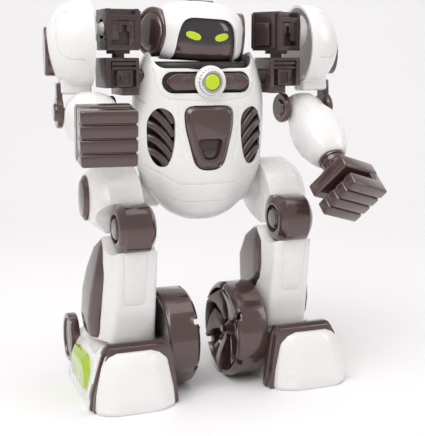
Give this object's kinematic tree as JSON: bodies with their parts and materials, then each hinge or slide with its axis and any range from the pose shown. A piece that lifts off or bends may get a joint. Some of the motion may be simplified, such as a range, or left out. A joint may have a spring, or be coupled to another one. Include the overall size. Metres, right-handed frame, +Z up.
{
  "type": "walking humanoid robot toy",
  "caption": "Stocky walking toy robot with a visored head, ball-jointed shoulders, grip-slot fists, bent legs and large wheeled feet; posable arms, turning head, press lamp.",
  "frame": {"origin": "middle of the footprint of the overall box, on the floor under the robot", "axes": "+Z up, the robot faces -Y, +X is the robot's left side"},
  "size_m": [0.2034, 0.1386, 0.2519],
  "materials": {
    "white_shell": "glossy moulded",
    "brown_trim": "glossy pearl lacquer",
    "module_brown": "satin moulded",
    "dark_frame": "satin moulded",
    "vent_dark": "satin moulded",
    "visor_gloss": "polished",
    "lime_lens": "polished translucent",
    "light_lens": "polished translucent",
    "steel_pin": "plated",
    "motor_can": "plated",
    "gear_white": "natural acetal",
    "cell": "printed foil",
    "board": "solder mask"
  },
  "bodies": {
    "torso": {"torso_front_shell": "white_shell", "torso_back_shell": "white_shell", "battery_door": "white_shell", "battery_cells": "cell", "control_board": "board", "chest_bar": "brown_trim", "lamp_bezel": "white_shell", "chest_plate": "brown_trim", "right_vent": "vent_dark", "left_vent": "vent_dark", "collar": "dark_frame", "hip_posts": "dark_frame", "body_screws": "steel_pin", "drive_motor": "motor_can", "gearbox_frame": "dark_frame", "right_shoulder_bracket": "module_brown", "left_shoulder_bracket": "module_brown"},
    "power_button": {"lamp_button": "lime_lens"},
    "crank": {"drive_gear": "gear_white", "crank_axle": "steel_pin"},
    "pinion": {"motor_pinion": "gear_white"},
    "head": {"head_shell": "white_shell", "visor": "visor_gloss", "eye_lenses": "lime_lens", "right_ear": "brown_trim", "left_ear": "brown_trim"},
    "right_shoulder": {"right_shoulder_block": "module_brown"},
    "right_hub": {"right_shoulder_hub": "white_shell"},
    "right_upper_arm": {"right_shoulder_shell": "white_shell", "right_shoulder_cap": "brown_trim", "right_elbow_yoke": "brown_trim"},
    "right_forearm": {"right_forearm": "white_shell"},
    "right_hand": {"right_fist": "brown_trim"},
    "right_thigh": {"right_thigh": "white_shell", "right_thigh_cap": "brown_trim"},
    "right_shin": {"right_knee_barrel": "brown_trim", "right_shin_shell": "white_shell", "right_shin_core": "brown_trim"},
    "right_foot": {"right_foot_shell": "white_shell", "right_foot_light": "light_lens", "right_foot_trim": "brown_trim", "right_toe_cap": "white_shell"},
    "right_drum": {"right_drum": "brown_trim"},
    "left_shoulder": {"left_shoulder_block": "module_brown"},
    "left_hub": {"left_shoulder_hub": "white_shell"},
    "left_upper_arm": {"left_shoulder_shell": "white_shell", "left_shoulder_cap": "brown_trim", "left_elbow_yoke": "brown_trim"},
    "left_forearm": {"left_forearm": "white_shell"},
    "left_hand": {"left_fist": "brown_trim"},
    "left_thigh": {"left_thigh": "white_shell", "left_thigh_cap": "brown_trim"},
    "left_shin": {"left_knee_barrel": "brown_trim", "left_shin_shell": "white_shell", "left_shin_core": "brown_trim"},
    "left_foot": {"left_foot_shell": "white_shell", "left_foot_light": "light_lens", "left_foot_trim": "brown_trim", "left_toe_cap": "white_shell"},
    "left_drum": {"left_drum": "brown_trim"}
  },
  "joints": [
    {"name": "head_turn", "type": "hinge", "parent": "torso", "child": "head", "pos_m": [0.00008, 0.02727, 0.2175], "axis": [0.0523, 0, 0.9986], "range_deg": [-30, 30]},
    {"name": "lamp_press", "type": "slide", "parent": "torso", "child": "power_button", "axis": [0, 1, 0], "range_m": [0, 0.0015], "stiffness_N_per_m": 400, "springref_m": -0.001},
    {"name": "crank_spin", "type": "hinge", "parent": "torso", "child": "crank", "pos_m": [0.00008, 0.01927, 0.136], "axis": [1, 0, 0], "continuous": true},
    {"name": "pinion_spin", "type": "hinge", "parent": "torso", "child": "pinion", "pos_m": [0.00008, 0.01927, 0.155], "axis": [1, 0, 0], "continuous": true},
    {"name": "right_shoulder_turn", "type": "hinge", "parent": "torso", "child": "right_shoulder", "pos_m": [-0.05492, 0.01927, 0.2175], "axis": [0, 0, 1], "range_deg": [-20, 3]},
    {"name": "right_arm_spread", "type": "hinge", "parent": "right_shoulder", "child": "right_hub", "pos_m": [-0.06342, 0.01927, 0.233], "axis": [0, 0, 1], "range_deg": [-12, 6]},
    {"name": "right_arm_swing", "type": "hinge", "parent": "right_hub", "child": "right_upper_arm", "pos_m": [-0.06342, 0.01927, 0.233], "axis": [0.9945, -0.1045, 0], "range_deg": [-70, 2]},
    {"name": "right_elbow_bend", "type": "hinge", "parent": "right_upper_arm", "child": "right_forearm", "pos_m": [-0.07635, 0.02063, 0.1815], "axis": [0.9945, -0.1045, 0], "range_deg": [-6.5, 29.5]},
    {"name": "right_wrist_turn", "type": "hinge", "parent": "right_forearm", "child": "right_hand", "pos_m": [-0.08154, -0.02878, 0.17584], "axis": [0.1039, 0.9881, 0.1132], "range_deg": [-60, 60]},
    {"name": "right_hip_swing", "type": "hinge", "parent": "torso", "child": "right_thigh", "pos_m": [-0.05192, 0.03527, 0.128], "axis": [1, 0, 0], "range_deg": [-8, 8]},
    {"name": "right_knee_bend", "type": "hinge", "parent": "right_thigh", "child": "right_shin", "pos_m": [-0.05412, -0.00473, 0.1103], "axis": [1, 0, 0], "range_deg": [-6, 5]},
    {"name": "right_ankle_tilt", "type": "hinge", "parent": "right_shin", "child": "right_foot", "pos_m": [-0.05692, 0.03727, 0.028], "axis": [1, 0, 0], "range_deg": [-5, 5]},
    {"name": "right_drum_spin", "type": "hinge", "parent": "right_foot", "child": "right_drum", "pos_m": [-0.02792, 0.01407, 0.0328], "axis": [1, 0, 0], "continuous": true},
    {"name": "left_shoulder_turn", "type": "hinge", "parent": "torso", "child": "left_shoulder", "pos_m": [0.05508, 0.01927, 0.2175], "axis": [0, 0, 1], "range_deg": [-4, 6]},
    {"name": "left_arm_spread", "type": "hinge", "parent": "left_shoulder", "child": "left_hub", "pos_m": [0.06296, 0.02245, 0.233], "axis": [0, 0, 1], "range_deg": [0, 24]},
    {"name": "left_arm_swing", "type": "hinge", "parent": "left_hub", "child": "left_upper_arm", "pos_m": [0.06296, 0.02245, 0.233], "axis": [0.9976, 0.0698, 0], "range_deg": [-66, 1]},
    {"name": "left_elbow_bend", "type": "hinge", "parent": "left_upper_arm", "child": "left_forearm", "pos_m": [0.07618, 0.01977, 0.18163], "axis": [0.9976, 0.0698, 0], "range_deg": [-35, 0]},
    {"name": "left_wrist_turn", "type": "hinge", "parent": "left_forearm", "child": "left_hand", "pos_m": [0.07881, -0.01787, 0.14882], "axis": [-0.0526, 0.7529, 0.6561], "range_deg": [-81, 39]},
    {"name": "left_hip_swing", "type": "hinge", "parent": "torso", "child": "left_thigh", "pos_m": [0.05208, 0.03527, 0.128], "axis": [1, 0, 0], "range_deg": [-8, 8]},
    {"name": "left_knee_bend", "type": "hinge", "parent": "left_thigh", "child": "left_shin", "pos_m": [0.05428, -0.00473, 0.1103], "axis": [1, 0, 0], "range_deg": [-6, 5]},
    {"name": "left_ankle_tilt", "type": "hinge", "parent": "left_shin", "child": "left_foot", "pos_m": [0.05708, 0.03727, 0.028], "axis": [1, 0, 0], "range_deg": [-5, 5]},
    {"name": "left_drum_spin", "type": "hinge", "parent": "left_foot", "child": "left_drum", "pos_m": [0.02808, 0.01407, 0.0328], "axis": [1, 0, 0], "continuous": true}
  ],
  "couplings": [
    {"joint": "pinion_spin", "follows": "crank_spin", "ratio": -2.1667}
  ]
}
